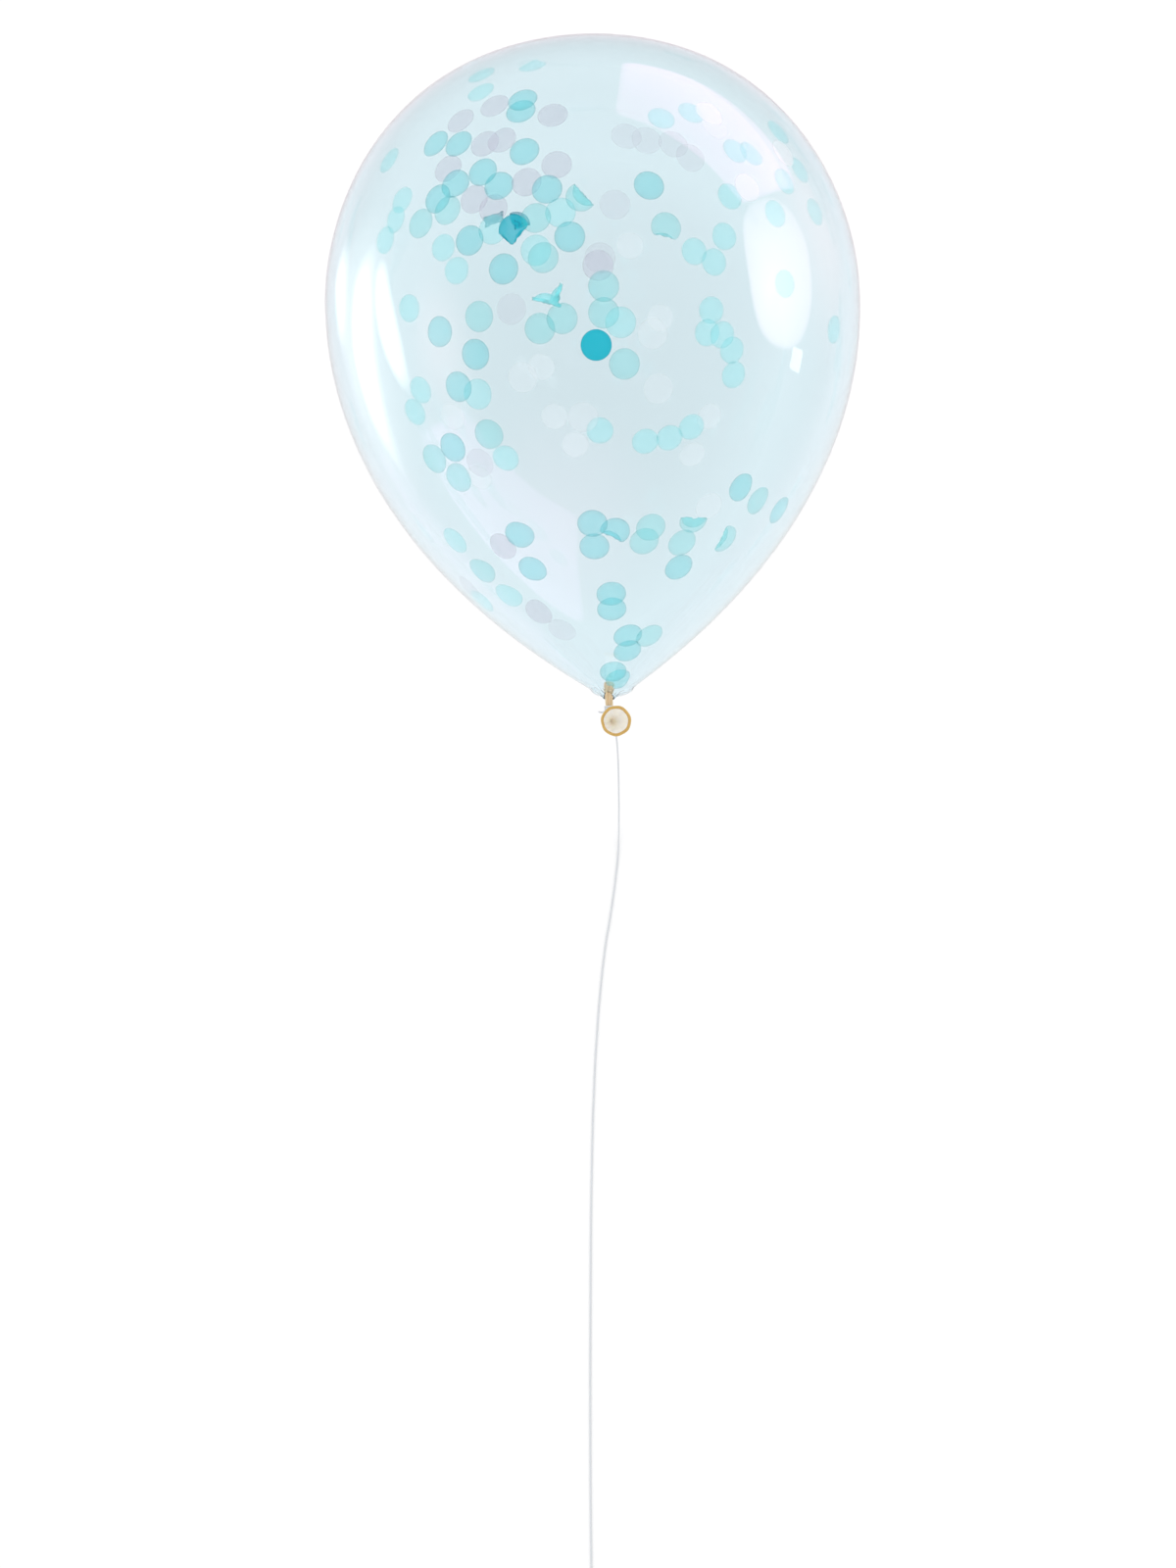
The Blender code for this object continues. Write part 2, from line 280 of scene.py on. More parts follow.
@dataclass
class BalloonForm:
    """The blown balloon's outline and how it lies, as the CAD has them."""

    radius: float = 140.6 * MM
    crown_rise: float = 137.9 * MM
    neck_drop: float = 211.8 * MM
    crown_pull: float = 0.73
    shoulder_pull: float = 0.40
    waist_pull: float = 0.12
    flank_pull: float = 1.17
    flank_angle: float = radians(58.0)
    tip_radius: float = 11.0 * MM
    tip_depth: float = 4.1 * MM
    rest_tilt: float = radians(12.0)
    flat_depth: float = 1.5 * MM
    floor_gap: float = 0.15 * MM
    upper_points: int = 90
    lower_points: int = 150
    tip_points: int = 12
    tip_start: float = 1.1
    outline: list[Pair] = field(init=False)
    rising: np.ndarray = field(init=False)
    centre: Vector = field(init=False)

    def __post_init__(self) -> None:
        """Works out the outline, crown first, and where the widest ring's centre lies."""
        crown = Vector((0.0, 0.0, self.crown_rise))
        widest = Vector((self.radius, 0.0, 0.0))
        meet = Vector((0.0, 0.0, -self.neck_drop))
        flank = Vector((sin(self.flank_angle), 0.0, cos(self.flank_angle)))
        upper = interpolate_bezier(
            crown,
            crown + Vector((self.crown_pull * self.radius, 0.0, 0.0)),
            widest + Vector((0.0, 0.0, self.shoulder_pull * self.crown_rise)),
            widest,
            self.upper_points,
        )
        lower = interpolate_bezier(
            widest,
            widest - Vector((0.0, 0.0, self.waist_pull * self.neck_drop)),
            meet + flank * self.flank_pull * self.radius,
            meet,
            self.lower_points,
        )
        shoulder = -self.neck_drop + self.tip_radius / tan(self.flank_angle)
        tip = [
            (self.tip_radius * cos(t), shoulder - self.tip_depth * sin(t))
            for t in np.linspace(0.0, pi / 2, self.tip_points)
        ]
        last_radius = self.tip_radius * self.tip_start
        sides = [(p.x, p.z) for p in [*upper, *lower[1:]] if p.z > 0 or p.x > last_radius]
        self.outline = [*sides, *tip]
        self.rising = np.array(self.outline[::-1])
        sine, cosine = sin(self.rest_tilt), cos(self.rest_tilt)
        low_r, low_z = min(self.outline, key=lambda p: p[1] * sine - p[0] * cosine)
        self.centre = Vector((
            0.0,
            -(low_z * cosine + low_r * sine),
            -(low_z * sine - low_r * cosine) - self.flat_depth,
        ))

    @property
    def along_way(self) -> Vector:
        """The way from the neck to the crown."""
        return Vector((0.0, cos(self.rest_tilt), sin(self.rest_tilt)))

    @property
    def up_way(self) -> Vector:
        """The way square to the axis that is most nearly up."""
        return Vector((0.0, -sin(self.rest_tilt), cos(self.rest_tilt)))

    def radius_at(self, along: float) -> float:
        """The body's radius at a place along its axis."""
        return float(np.interp(along, self.rising[:, 1], self.rising[:, 0]))

    def along_at_tip(self, radius: float) -> float:
        """Where along the axis the neck end of the body has this radius."""
        lower = self.rising[self.rising[:, 1] < 0]
        return float(np.interp(radius, lower[:, 0], lower[:, 1]))

    def world(self, across: float, up: float, along: float) -> Vector:
        """A point by its place across, up and along the axis, in the frame's coordinates."""
        return self.centre + Vector((across, 0, 0)) + self.up_way * up + self.along_way * along

    def local(self, point: Vector) -> Triple:
        """A point's place across, up and along the axis."""
        offset = point - self.centre
        return offset.x, offset.dot(self.up_way), offset.dot(self.along_way)

    def room_at(self, point: Vector) -> float:
        """How far inside the wall a point is, square to the axis."""
        across, up, along = self.local(point)
        if not self.rising[0, 1] < along < self.rising[-1, 1]:
            return -1.0
        return self.radius_at(along) - hypot(across, up)

    def wall_towards(self, inside: Vector, way: Vector) -> Vector:
        """Finds the wall by halving the stretch that it is in.

        Args:
            inside: A point inside the body.
            way: The way to look from there.

        Returns:
            The point of the wall that the line meets.
        """
        near, far = 0.0, 3 * self.radius
        for _ in range(30):
            middle = (near + far) / 2
            if self.room_at(inside + way * middle) > 0:
                near = middle
            else:
                far = middle
        return inside + way * near

    def wall_normal(self, across: float, up: float, along: float) -> Vector:
        """Works out which way the body's wall faces.

        Args:
            across: A place's distance across the axis.
            up: Its distance up from the axis.
            along: Its distance along the axis.

        Returns:
            The outward way, square to the wall there.
        """
        step = 0.5 * MM
        slope = (self.radius_at(along + step) - self.radius_at(along - step)) / (2 * step)
        radius = hypot(across, up) or step
        out = Vector((across / radius, 0, 0)) + self.up_way * (up / radius)
        return (out - self.along_way * slope).normalized()


# ---- finishes


@dataclass(frozen=True)
class ClearLatex:
    """Blown clear latex: a glossy film that dims white to a faint milky blue."""

    tint: str = "eff9fc"
    roughness: float = 0.03
    ior: float = 1.50
    clearness: float = 1.0

    def build(self) -> Material:
        """Makes the material."""
        material, _ = new_material("clear_blown_latex")
        return surfaced(material, {
            "Base Color": linear(self.tint),
            "Roughness": self.roughness,
            "IOR": self.ior,
            "Transmission Weight": self.clearness,
        })


@dataclass(frozen=True)
class ThickLatex:
    """Unblown latex: cream and waxy, lets some light through, and ochre where it bunches up."""

    cream: str = "fbf8f0"
    ochre: str = "bd9d5e"
    roughness: float = 0.38
    ior: float = 1.52
    glow: float = 0.6
    glow_depth: float = 3.0 * MM
    glow_spread: Triple = (1.0, 0.9, 0.7)
    mottle_scale: float = 900.0
    mottle: float = 0.15
    cream_until: float = 0.09

    def build(self) -> Material:
        """Makes the material."""
        material, tree = new_material("thick_cream_latex")
        bunched = add_node(tree, "ShaderNodeAttribute", {"attribute_name": "bunching"})
        mottle = add_node(tree, "ShaderNodeTexNoise", {"Scale": self.mottle_scale, "Detail": 3.0})
        spread = add_node(tree, "ShaderNodeMath", {"operation": "MULTIPLY_ADD", 1: self.mottle},
                          {0: mottle.outputs["Fac"], 2: bunched.outputs["Fac"]})
        colour = add_node(tree, "ShaderNodeValToRGB", {}, {"Fac": spread.outputs["Value"]})
        thin, thick = colour.color_ramp.elements
        thin.position, thin.color = self.cream_until, linear(self.cream)
        thick.position, thick.color = 1.0, linear(self.ochre)
        return surfaced(material, {
            "Roughness": self.roughness,
            "IOR": self.ior,
            "Subsurface Weight": self.glow,
            "Subsurface Radius": self.glow_spread,
            "Subsurface Scale": self.glow_depth,
        }, {"Base Color": colour.outputs["Color"]})


class Tone(Enum):
    """The papers: each one's sRGB colour, how much a face covers, and how dark its rim is."""

    AQUA = ("38dae3", 0.27, 0.34)
    MID_AQUA = ("54e2e5", 0.21, 0.30)
    PALE_AQUA = ("8cf2f6", 0.22, 0.18)
    DEEP_AQUA = ("22bdcf", 0.60, 0.20)
    DARK_TEAL = ("128fa8", 0.40, 0.10)
    TEAL = ("18bdd0", 0.86, 0.10)
    GREY_TEAL = ("5c9eac", 0.20, 0.10)
    # White paper painted darker and lilac-grey: painted shade, where discs on the near wall block
    # the light from behind.
    LILAC = ("cfc8d8", 0.24, 0.03)
    FAINT_LILAC = ("d2ccda", 0.12, 0.0)
    WHITE = ("fcfcff", 0.36, 0.0)
    FAINT_WHITE = ("fcfcff", 0.13, 0.0)


@dataclass(frozen=True)
class TissuePaper:
    """Thin tissue paper: matt, and it lets light through, so overlaps look deeper.

    Its fibres cloud the colour a little. Its rim is drawn darker: partly the punch's denser edge,
    and partly painted shade.
    """

    tone: Tone
    roughness: float = 0.85
    gloss: float = 0.2
    fibre_scale: float = 700.0
    fibre_range: Pair = (0.3, 0.7)
    clouds: Pair = (0.86, 1.14)

    def build(self) -> Material:
        """Makes the material."""
        colour, cover, rim_shade = self.tone.value
        material, tree = new_material(f"tissue_{self.tone.name.lower()}")
        fibres = add_node(tree, "ShaderNodeTexNoise", {"Scale": self.fibre_scale, "Detail": 4.0})
        clouds = add_node(tree, "ShaderNodeMapRange", {
            "From Min": self.fibre_range[0],
            "From Max": self.fibre_range[1],
            "To Min": self.clouds[0],
            "To Max": self.clouds[1],
        }, {"Value": fibres.outputs["Fac"]})
        # Painted shade, in part: the rim attribute darkens the paper's colour towards its edge by
        # rim_shade.
        rim = add_node(tree, "ShaderNodeAttribute", {"attribute_name": "rim"})
        dim = add_node(tree, "ShaderNodeMath", {"operation": "MULTIPLY_ADD", 1: -rim_shade},
                       {0: rim.outputs["Fac"], 2: clouds.outputs["Result"]})
        tint = add_node(tree, "ShaderNodeMixRGB", {
            "blend_type": "MULTIPLY",
            "Fac": 1.0,
            "Color1": linear(colour),
        }, {"Color2": dim.outputs["Value"]})
        return surfaced(material, {
            "Roughness": self.roughness,
            "Specular IOR Level": self.gloss,
            "Alpha": cover,
        }, {"Base Color": tint.outputs["Color"]})


@dataclass(frozen=True)
class TwistedString:
    """Fine white cotton and polyester string, matt."""

    white: str = "dfe3e6"
    roughness: float = 0.8
    sheen: float = 0.2
    fuzz_scale: float = 2500.0
    fuzz: float = 0.25

    def build(self) -> Material:
        """Makes the material."""
        material, tree = new_material("twisted_white_string")
        fuzz = add_node(tree, "ShaderNodeTexNoise", {"Scale": self.fuzz_scale, "Detail": 3.0})
        tint = add_node(tree, "ShaderNodeMixRGB", {
            "blend_type": "MULTIPLY",
            "Fac": self.fuzz,
            "Color1": linear(self.white),
        }, {"Color2": fuzz.outputs["Color"]})
        return surfaced(material, {
            "Roughness": self.roughness,
            "Sheen Weight": self.sheen,
        }, {"Base Color": tint.outputs["Color"]})


@dataclass(frozen=True)
class WhiteFloor:
    """A plain white studio floor, matt."""

    white: str = "f6f6f6"
    roughness: float = 0.9

    def build(self) -> Material:
        """Makes the material."""
        material, _ = new_material("white_floor")
        return surfaced(material, {
            "Base Color": linear(self.white),
            "Roughness": self.roughness,
            "Specular IOR Level": 0.0,
        })


# ---- the skin


@dataclass
class Skin:
    """The clear blown skin, from crown to neck, as a thin wall."""

    form: BalloonForm
    finish: ClearLatex = field(default_factory=ClearLatex)
    wall: float = 0.3 * MM
    sides: int = 160
    gather_from: float = 22.0 * MM
    neck_across: float = -2.0 * MM
    neck_up: float = 9.0 * MM
    neck_radius: float = 2.3 * MM
    gather_rings: int = 26
    gather_spacing: float = 0.85
    flare: float = 6.0 * MM
    flare_depth: float = 3.2 * MM
    flare_curve: float = 1.6
    pleats: int = 17
    pleat_depth: float = 0.35 * MM
    pleat_reach: float = 6.0 * MM
    pleat_start: float = 0.3
    pleat_sway: float = 1.3
    wave_depth: float = 0.05 * MM
    wave_size: float = 24.0 * MM
    shade: float = 0.08

    def body_rings(self) -> list[Pair]:
        """Radius and place along the axis of each ring of the open body."""
        rings = [p for p in self.form.outline if p[0] > self.gather_from or p[1] > 0]
        return rings[1::2]

    def gathered_point(self, turn: float, share: float) -> Vector:
        """A point where the skin draws in to the neck.

        Args:
            turn: The angle round the axis.
            share: Nought at the open body, and one at the neck.

        Returns:
            The point, in the frame's coordinates.
        """
        outer = self.gather_from
        x = outer * sin(turn)
        z = outer * cos(turn)
        end_x = self.neck_across + self.neck_radius * sin(turn)
        end_z = self.neck_up + self.neck_radius * cos(turn)
        x += (end_x - x) * share
        z += (end_z - z) * share
        away = hypot(x - self.neck_across, z - self.neck_up)
        along = self.form.along_at_tip(hypot(x, z))
        drawn = 1.0 - smoothstep(self.neck_radius, self.neck_radius + self.flare, away)
        along -= self.flare_depth * drawn ** self.flare_curve
        fold = cos(self.pleats * turn + self.pleat_sway * sin(3 * turn))
        fade = exp(-(away - self.neck_radius) / self.pleat_reach)
        along += self.pleat_depth * fold * (fade * smoothstep(0.0, self.pleat_start, share))
        return self.form.world(x, z, along)

    def build(self) -> Object:
        """Makes the skin.

        Returns:
            The skin, which stands for the CAD balloon.
        """
        form = self.form
        points = [form.world(0.0, 0.0, form.crown_rise)]
        for radius, along in self.body_rings():
            points += [
                form.world(radius * sin(turn), radius * cos(turn), along)
                for turn in circle(self.sides)
            ]
        for ring in range(self.gather_rings + 1):
            share = (ring / self.gather_rings) ** self.gather_spacing
            points += [self.gathered_point(turn, share) for turn in circle(self.sides)]
        for point in points:
            place = form.local(point)
            if place[2] > -form.neck_drop + self.wave_size:
                wave = noise.noise(point / self.wave_size)
                point += form.wall_normal(*place) * self.wave_depth * wave
            point.z = max(point.z, form.floor_gap)
        rings = (len(points) - 1) // self.sides
        faces = ring_faces(rings, self.sides, 1) + fan_faces(0, self.sides)
        skin = mesh_object("balloon_skin", points, faces, self.finish.build())
        orient_outward(skin)
        self.build_shade(points, faces)
        wall = skin.modifiers.new("wall", "SOLIDIFY")
        wall.thickness = self.wall
        wall.offset = -1.0
        hide_from(skin, "shadow", "diffuse")
        return skin

    def build_shade(self, points: Sequence[Vector], faces: Sequence[Face]) -> None:
        """Makes what casts the skin's faint shade, because refracting skin would cast a dark one.

        Args:
            points: The skin's points.
            faces: Its faces.
        """
        material, _ = new_material("skin_shade")
        surfaced(material, {"Alpha": self.shade})
        shade = mesh_object("skin_shade", points, faces, material)
        hide_from(shade, "camera", "diffuse", "glossy", "transmission")


# ---- neck and tail


@dataclass
class NeckAndTail:
    """The gathered neck, the tail's funnel and the rolled lip: one thick, unblown end."""

    form: BalloonForm
    finish: ThickLatex = field(default_factory=ThickLatex)
    route_mm: tuple[Quad, ...] = (
        (-1.5, 7.0, -203.0, 2.6), (-1.9, 8.6, -206.0, 2.5), (-2.0, 9.0, -209.0, 2.0),
        (-2.0, 9.0, -213.0, 1.9), (-2.0, 9.0, -216.2, 1.7), (-2.0, 9.0, -218.6, 1.9),
        (-1.7, 10.2, -221.2, 2.6), (-1.1, 13.0, -223.1, 3.6), (-0.4, 16.5, -223.6, 4.7),
        (0.3, 20.2, -223.8, 5.9), (0.8, 24.0, -224.2, 7.0),
    )
    steps: int = 7
    sides: int = 96
    wall: float = 0.55 * MM
    lip: float = 0.85 * MM
    lip_turns: int = 14
    lip_sweep: float = 0.86
    lip_out: float = 0.15
    lip_rise: float = 0.9
    folds: int = 7
    wide_folds: int = 4
    wide_share: float = 0.5
    wide_turn: float = 2.1
    fold_depth: float = 0.10
    fold_twist: float = 1.8
    fold_end: Pair = (0.45, 0.95)
    lip_waviness: float = 0.012
    throat: float = 11.5 * MM
    pinch_start: float = 0.55
    pinch_depth: float = 0.75
    narrowest: float = 0.25 * MM
    neck_bunching: float = 0.7
    bunched_radii: Pair = (2.3 * MM, 4.2 * MM)
    throat_bunching: float = 0.2

    def frames(self) -> list[tuple[Vector, Vector, Vector, Vector, float]]:
        """Centre, two ways across, the way on and the radius at each step of the route."""
        route = smooth_points(self.route_mm, self.steps)
        centres = [self.form.world(*(v * MM for v in p[:3])) for p in route]
        ways = ways_along(centres, Vector((1.0, 0.0, 0.0)))
        return [(*way, point[3] * MM) for way, point in zip(ways, route)]

    def fold(self, turn: float, radius: float, share: float) -> float:
        """Works out how far the folds push the wall out.

        Args:
            turn: The angle round the route.
            radius: The wall's radius.
            share: Nought at the neck's start, and one at the lip.

        Returns:
            The push, which is below nought in a hollow.
        """
        twist = self.fold_twist * (1 - share)
        wide = self.wide_share * cos(self.wide_folds * turn + self.wide_turn + twist)
        lobes = cos(self.folds * (turn + twist)) + wide
        depth = self.fold_depth * radius * (1 - smoothstep(*self.fold_end, share))
        return (depth + self.lip_waviness * radius) * lobes

    def build(self) -> Object:
        """Makes the neck, tail and lip as one closed piece.

        Returns:
            The piece.
        """
        frames = self.frames()
        last = len(frames) - 1
        rings: list[list[Vector]] = []
        bunching: list[float] = []

        def ring(
            centre: Vector, a: Vector, b: Vector, radius: float, share: float, bunched: float
        ) -> None:
            """Adds a folded ring, and how bunched up its latex is."""
            bunching.append(bunched)
            rings.append([
                centre + (a * cos(t) + b * sin(t)) * (radius + self.fold(t, radius, share))
                for t in circle(self.sides)
            ])

        for index, (centre, a, b, _, radius) in enumerate(frames):
            opened = smoothstep(*self.bunched_radii, radius)
            ring(centre, a, b, radius, index / last, self.neck_bunching * (1 - opened))
        centre, a, b, on, radius = frames[-1]
        for step in range(1, self.lip_turns):
            angle = -pi / 4 - tau * self.lip_sweep * step / self.lip_turns
            out = self.lip * (cos(angle) + self.lip_out)
            rise = self.lip * (sin(angle) + self.lip_rise)
            ring(centre + on * rise, a, b, radius + out, 1.0, 1.0)
        travelled = 0.0
        for index in range(last, 0, -1):
            centre, a, b, _, radius = frames[index]
            if index < last:
                travelled += (frames[index + 1][0] - centre).length
            if travelled > self.throat:
                break
            pinch = smoothstep(self.throat * self.pinch_start, self.throat, travelled)
            inner = max(self.narrowest, (radius - self.wall) * (1 - self.pinch_depth * pinch))
            ring(centre, a, b, inner, index / last, self.throat_bunching * pinch)
        points = [point for made in rings for point in made]
        faces = capped_tube(len(rings), self.sides)
        tail = mesh_object("neck_and_tail", points, faces, self.finish.build())
        set_values(tail, "bunching", [value for value in bunching for _ in range(self.sides)])
        orient_outward(tail)
        return tail


# ---- confetti


class Wall(Enum):
    """Which wall of the lying balloon a disc clings to: as the way to it from inside."""

    NEAR = 1
    FAR = -1


@dataclass(frozen=True)
class Row:
    """Discs in a row: the first one's place as seen from above, and the way to the next ones.

    Places are in millimetres from the widest ring's centre, aside to the right and upward to
    the crown. A fold is the way that it faces, in degrees, and how far out it is as a share of
    the radius.
    """

    aside: float
    upward: float
    count: int = 1
    heading_deg: float = 0.0
    step: float = 12.0
    bend_deg: float = 0.0
    folds: tuple[Pair, ...] = ()

    def places(self) -> list[Pair]:
        """Where each disc of the row is."""
        aside, upward, heading = self.aside, self.upward, radians(self.heading_deg)
        made = []
        for _ in range(self.count):
            made.append((aside * MM, upward * MM))
            aside += self.step * cos(heading)
            upward += self.step * sin(heading)
            heading += radians(self.bend_deg)
        return made


@dataclass(frozen=True)
class Drift:
    """Rows of one paper on one wall."""

    tone: Tone
    rows: tuple[Row, ...]
    wall: Wall = Wall.NEAR


@dataclass
class Confetti:
    """Punched paper discs that cling to the inside of the skin."""

    form: BalloonForm
    seen_from: Vector
    seen_right: Vector
    seen_up: Vector
    diameter: float = 15.4 * MM
    thickness: float = 0.08 * MM
    inset: float = 0.55 * MM
    layer: float = 0.25 * MM
    sides: int = 32
    shares: tuple[float, ...] = (0.0, 0.35, 0.65, 0.88, 1.0)
    curl: float = 1.6 * MM
    curl_rarity: int = 3
    fold_lift: float = 3.0
    least_steepness: float = 0.35
    least_room: float = 0.2
    crown_gap: float = 2.0 * MM
    overlap: float = 1.05
    rim_start: float = 0.65
    nudge: float = 0.99
    seed: int = 11
    drifts: tuple[Drift, ...] = (
        Drift(Tone.AQUA, (
            Row(-37, 107, 2, -100, 6), Row(-83, 84, 2, 0, 12), Row(-36, 80),
            Row(-58, 69, 2, -40, 11), Row(-24, 60), Row(-73, 63), Row(-82, 55), Row(-47, 18),
            Row(-12, 35), Row(-65, 33), Row(30, 62), Row(-81, -15), Row(-62, -27), Row(-71, -44),
            Row(-74, -76), Row(-39, -122), Row(-32, -140), Row(0, -116),
            Row(12, -120, folds=((-120, 0.55),)), Row(1, -128), Row(46, -139), Row(79, -97),
            Row(99, -109), Row(10, -153, 2, -88, 8), Row(19, -175, 2, -90, 8), Row(11, -194),
            Row(14, -198),
        )),
        Drift(Tone.MID_AQUA, (
            Row(-77, 49), Row(-91, 42), Row(-6, 56, folds=((40, 0.3),)), Row(-26, 24),
            Row(-84, -82), Row(-30, 45), Row(39, 40, folds=((-100, 0.7),)), Row(-60, -7),
            Row(-55, -69), Row(-71, -92), Row(-16, -8, 2, 204, 13), Row(-59, -141),
            Row(70, -124, folds=((150, 0.4),)), Row(31, -175), Row(6, 9), Row(6, -5), Row(17, -32),
            Row(31, -118, 2, 245, 8), Row(54, -114, folds=((75, 0.2),)), Row(48, -126),
            Row(88, -104),
        )),
        Drift(Tone.PALE_AQUA, (
            Row(-17, 48), Row(-30, 28), Row(-61, -48), Row(15, -10), Row(-73, -125), Row(-45, -154),
            Row(-59, -157),
        )),
        Drift(Tone.TEAL, (Row(2, -22),)),
        Drift(Tone.DEEP_AQUA, (Row(-42, 39, folds=((-135, 0.85), (-40, 0.7))),)),
        Drift(Tone.DARK_TEAL, (Row(-41, 40.5, folds=((200, 0.15), (-75, 0.25))),)),
        Drift(Tone.PALE_AQUA, (
            Row(-24, 2, folds=((75, 0.0), (-105, 0.3))),
            Row(-20, 3, folds=((165, 0.0), (-15, 0.35), (-100, 0.3))), Row(-53, 39),
        )),
        Drift(Tone.GREY_TEAL, (
            Row(-52.5, 44.5, folds=((100, 0.4), (-80, 0.45), (10, 0.75), (190, 0.75))),
        )),
        # White discs on the near wall, painted darker and lilac-grey as painted shade.
        Drift(Tone.LILAC, (
            Row(-52, 104), Row(-70, 96), Row(-21, 99), Row(-57, 84, 2, 14, 9), Row(-19, 73),
            Row(-35, 64), Row(-63, 55), Row(-77, 71), Row(-53, 50), Row(3, 20), Row(-48, -128),
            Row(-29, -163),
        )),
        # Fainter white discs on the near wall, also painted darker and lilac-grey as painted shade.
        Drift(Tone.FAINT_LILAC, (
            Row(18, 88, 2, -10, 11), Row(43, 84), Row(52, 77), Row(-43, -3), Row(4, 24),
            Row(-66, -150), Row(-17, -172), Row(12, 52), Row(-60, -84),
        )),
        Drift(Tone.WHITE, (Row(82, 61), Row(62, 100), Row(101, 79))),
        Drift(Tone.FAINT_WHITE, (
            Row(62, -107), Row(-37, -39), Row(32, -16), Row(35, -45), Row(-5, -60),
        )),
        Drift(Tone.PALE_AQUA, (
            Row(-60, 120), Row(-33, 125), Row(-14, 128), Row(-60, 111), Row(-108, 75),
            Row(-101, 54, 2, -110, 11), Row(-110, 33), Row(-79, 29, 2, -60, 14), Row(-97, -3),
            Row(-91, -46, 2, -105, 12), Row(-46, -82), Row(4, -68), Row(28, -73, 3, 8, 13, 18),
            Row(73, 56), Row(70, 35), Row(54, 27, 2, -28, 12), Row(63, -4, 2, -100, 12),
            Row(69, -17), Row(74, -25, 2, -86, 13), Row(128, -14), Row(37, 97), Row(53, 100),
            Row(76, 80, 2, -8, 9), Row(99, 90), Row(102, 64), Row(110, 70), Row(118, 48),
            Row(97, 47), Row(102, 10),
        ), Wall.FAR),
        Drift(Tone.FAINT_WHITE, (
            Row(-9, -75), Row(53, -80), Row(-60, -92), Row(36, -8), Row(-20, -60), Row(66, 92),
            Row(-27, -34), Row(62, -60), Row(-74, -60), Row(20, 30),
        ), Wall.FAR),
    )

    def cling(self, point: Vector, gap: float) -> Vector:
        """Moves a point square to the axis until it lies inside the wall.

        Args:
            point: The point.
            gap: How far inside the wall it is to lie.

        Returns:
            The moved point.
        """
        across, up, along = self.form.local(point)
        along = min(max(along, self.form.rising[0, 1]), self.form.crown_rise - self.crown_gap)
        away = hypot(across, up) or MM
        room = max(self.form.radius_at(along) - gap, self.least_room * away)
        place = self.form.world(across * room / away, up * room / away, along)
        place.z = max(place.z, self.form.floor_gap + gap)
        return place

    def disc(
        self,
        at: Vector,
        gap: float,
        folds: Sequence[Pair],
        draw: random.Random,
    ) -> list[Vector]:
        """Works out one disc, which may be folded and curl up at a side.

        Args:
            at: Where on the wall the disc's centre is.
            gap: How far inside the wall it lies.
            folds: The way that each fold faces, in degrees, and its share of the radius.
            draw: The random numbers.

        Returns:
            Points of the top face, centre first, then those of the under face.
        """
        normal = self.form.wall_normal(*self.form.local(at))
        leaning = abs(normal.dot(self.form.along_way)) ** 2
        steep = max(self.least_steepness, 1.0 - leaning) ** 0.5
        side_way = (self.seen_right - normal * self.seen_right.dot(normal)).normalized()
        other_way = normal.cross(side_way)
        lifted = draw.uniform(0.0, tau)
        lifted_way = (cos(lifted), sin(lifted))
        lift = self.curl * draw.random() ** self.curl_rarity
        fold_ways = [
            (Vector((cos(radians(facing)), sin(radians(facing)))), out)
            for facing, out in folds
        ]
        made = []
        for depth in (0.0, self.thickness):
            for share in self.shares:
                for turn in circle(self.sides if share else 1):
                    spot = Vector((cos(turn), sin(turn))) * share
                    raised = max(0.0, spot.dot(lifted_way)) ** 2 * lift
                    deep = depth
                    for way, out in fold_ways:
                        past = spot.dot(way) - out
                        if past > 0:
                            spot -= way * 2 * past
                            deep = self.fold_lift * self.thickness - deep
                    offset = (side_way * spot.x + other_way * spot.y) * (self.diameter / 2)
                    made.append(self.cling(at + offset, gap / steep) - normal * (deep + raised))
        return made

    def disc_faces(self, first: int) -> list[Face]:
        """Makes the top, the underside and the edge of one disc.

        Args:
            first: The number of the disc's first point.

        Returns:
            The faces.
        """
        made: list[Face] = []
        rings = len(self.shares) - 1
        one_face = 1 + rings * self.sides
        for base in (first, first + one_face):
            sheet = fan_faces(base, self.sides) + ring_faces(rings, self.sides, base + 1)
            made += sheet if base == first else [face[::-1] for face in sheet]
        rim = first + 1 + (rings - 1) * self.sides
        for side in range(self.sides):
            after = (side + 1) % self.sides
            made.append((rim + side, rim + after, rim + one_face + after, rim + one_face + side))
        return made

    def place(self, aside: float, upward: float, wall: Wall) -> Vector:
        """Finds a place on the wall as it is seen from above.

        Args:
            aside: How far right of the widest ring's centre it is.
            upward: How far towards the crown it is.
            wall: The wall that is meant.

        Returns:
            The point of the wall.
        """
        offset = self.seen_right * aside + self.seen_up * upward
        shrink = 1.0
        while self.form.room_at(self.form.centre + offset * shrink) < MM:
            shrink *= self.nudge
        inside = self.form.centre + offset * shrink
        way = (self.seen_from - inside).normalized()
        return self.form.wall_towards(inside, way * wall.value)

    def build(self) -> list[Object]:
        """Lays out every drift.

        Returns:
            One piece of joined discs for each paper.
        """
        draw = random.Random(self.seed)
        placed: list[Vector] = []
        by_tone: dict[Tone, tuple[list[Vector], list[Face]]] = {tone: ([], []) for tone in Tone}
        for drift in self.drifts:
            points, faces = by_tone[drift.tone]
            for row in drift.rows:
                for aside, upward in row.places():
                    at = self.place(aside, upward, drift.wall)
                    under = sum((at - p).length < self.diameter * self.overlap for p in placed)
                    placed.append(at)
                    faces += self.disc_faces(len(points))
                    points += self.disc(at, self.inset + self.layer * under, row.folds, draw)
        log.info("confetti: %d discs", len(placed))
